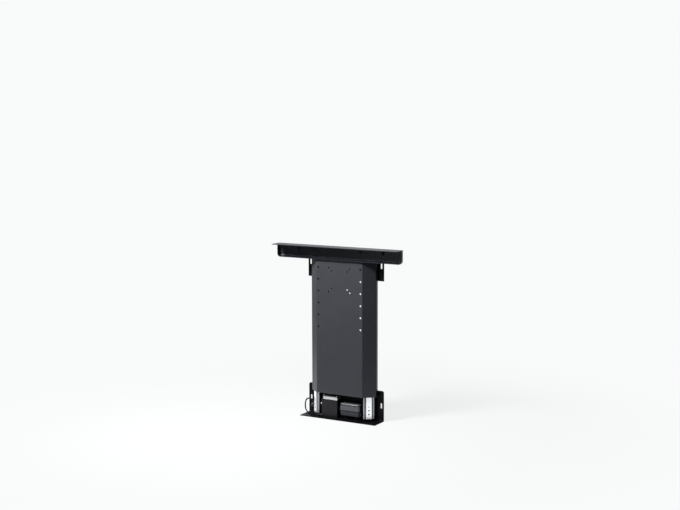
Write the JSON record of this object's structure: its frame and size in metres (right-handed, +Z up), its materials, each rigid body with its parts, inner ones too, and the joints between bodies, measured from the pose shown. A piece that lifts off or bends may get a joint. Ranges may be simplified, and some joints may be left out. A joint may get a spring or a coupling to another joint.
{
  "type": "motorised television lift",
  "caption": "Screw-driven lift that raises a flat television out of a cabinet, with wall brackets, telescopic slides, a folded cover and a wide lid bracket.",
  "frame": {"origin": "on the floor plane, under the middle of the bounding box", "axes": "+Z up along the lift's travel, +Y towards the wall, +X to the right seen from the front"},
  "size_m": [0.5886, 0.114, 0.7283],
  "materials": {
    "black_powder_coat": "satin black powder coat",
    "zinc_plated_steel": "bright zinc plate",
    "black_bolt_steel": "black oxide",
    "bearing_steel": "ground",
    "ground_steel": "ground",
    "motor_can_steel": "plated",
    "magnet_ferrite": "ferrite, matt",
    "cast_aluminium": "bead-blasted casting",
    "gear_nylon": "natural nylon",
    "nut_bronze": "turned bronze",
    "black_plastic": "fine texture",
    "white_plastic": "moulded",
    "black_rubber": "moulded",
    "lead_sheath": "flexible PVC sheath",
    "board_laminate": "solder mask",
    "transformer_core": "taped winding on a laminated core",
    "relay_plastic": "moulded",
    "capacitor_sleeve": "shrink sleeve"
  },
  "bodies": {
    "frame": {"lower_bracket": "black_powder_coat", "upper_bracket": "black_powder_coat", "upright_left": "black_powder_coat", "upright_right": "black_powder_coat", "drive_housing": "black_powder_coat", "drive_rail": "black_powder_coat", "top_bearing_bracket": "black_powder_coat", "slide_outer_left": "zinc_plated_steel", "slide_outer_right": "zinc_plated_steel", "frame_screws": "zinc_plated_steel", "slide_rivets": "zinc_plated_steel", "top_bracket_screws": "zinc_plated_steel", "gearbox_screws": "zinc_plated_steel", "motor_screws": "zinc_plated_steel", "base_screws": "zinc_plated_steel", "board_screws": "zinc_plated_steel", "control_box_spacers": "zinc_plated_steel", "upper_bearing": "bearing_steel", "lower_bearing": "bearing_steel", "motor_can": "motor_can_steel", "motor_magnets": "magnet_ferrite", "gearbox_case": "cast_aluminium", "gearbox_lid": "black_plastic", "control_box_lower": "black_plastic", "control_box_upper": "black_plastic", "mains_inlet": "black_plastic", "drive_link_plug": "black_plastic", "receiver": "black_plastic", "lead_gland": "black_plastic", "handset_socket": "white_plastic", "upper_buffer": "black_rubber", "lower_buffer": "black_rubber", "receiver_lead": "lead_sheath", "circuit_board": "board_laminate", "transformer": "transformer_core", "relays": "relay_plastic", "capacitor": "capacitor_sleeve"},
    "carriage": {"cover": "black_powder_coat", "cover_studs": "zinc_plated_steel", "stud_nuts": "zinc_plated_steel", "slide_inner_left": "zinc_plated_steel", "slide_inner_right": "zinc_plated_steel", "head_bracket": "black_powder_coat", "lid_bracket": "black_powder_coat", "lid_bolts": "black_bolt_steel", "lid_nuts": "zinc_plated_steel", "nut_bracket": "black_powder_coat", "spindle_nut": "nut_bronze", "nut_screws": "zinc_plated_steel"},
    "middle_left": {"slide_middle_left": "zinc_plated_steel"},
    "middle_right": {"slide_middle_right": "zinc_plated_steel"},
    "outer_cage_left": {"outer_cage_left": "bearing_steel"},
    "outer_cage_right": {"outer_cage_right": "bearing_steel"},
    "inner_cage_left": {"inner_cage_left": "bearing_steel"},
    "inner_cage_right": {"inner_cage_right": "bearing_steel"},
    "spindle": {"spindle": "ground_steel", "spindle_gear": "gear_nylon"},
    "motor_armature": {"armature": "ground_steel", "motor_pinion": "ground_steel"}
  },
  "joints": [
    {"name": "lift", "type": "slide", "parent": "frame", "child": "carriage", "axis": [0, 0, 1], "range_m": [0, 0.56]},
    {"name": "middle_left_slide", "type": "slide", "parent": "frame", "child": "middle_left", "axis": [0, 0, 1], "range_m": [0, 0.28]},
    {"name": "middle_right_slide", "type": "slide", "parent": "frame", "child": "middle_right", "axis": [0, 0, 1], "range_m": [0, 0.28]},
    {"name": "outer_cage_left_roll", "type": "slide", "parent": "frame", "child": "outer_cage_left", "axis": [0, 0, 1], "range_m": [0, 0.14]},
    {"name": "outer_cage_right_roll", "type": "slide", "parent": "frame", "child": "outer_cage_right", "axis": [0, 0, 1], "range_m": [0, 0.14]},
    {"name": "inner_cage_left_roll", "type": "slide", "parent": "frame", "child": "inner_cage_left", "axis": [0, 0, 1], "range_m": [0, 0.42]},
    {"name": "inner_cage_right_roll", "type": "slide", "parent": "frame", "child": "inner_cage_right", "axis": [0, 0, 1], "range_m": [0, 0.42]},
    {"name": "spindle_turn", "type": "hinge", "parent": "frame", "child": "spindle", "pos_m": [-0.0595, 0.02825, 0.4], "axis": [0, 0, 1], "range_deg": [-12600, 0]},
    {"name": "motor_turn", "type": "hinge", "parent": "frame", "child": "motor_armature", "pos_m": [-0.0335, 0.02825, 0.05], "axis": [0, 0, 1], "range_deg": [0, 42000]}
  ],
  "couplings": [
    {"joint": "middle_left_slide", "follows": "lift", "ratio": 0.5},
    {"joint": "middle_right_slide", "follows": "lift", "ratio": 0.5},
    {"joint": "outer_cage_left_roll", "follows": "lift", "ratio": 0.25},
    {"joint": "outer_cage_right_roll", "follows": "lift", "ratio": 0.25},
    {"joint": "inner_cage_left_roll", "follows": "lift", "ratio": 0.75},
    {"joint": "inner_cage_right_roll", "follows": "lift", "ratio": 0.75},
    {"joint": "spindle_turn", "follows": "lift", "rad_per_m": -392.7},
    {"joint": "motor_turn", "follows": "lift", "rad_per_m": 1309}
  ]
}
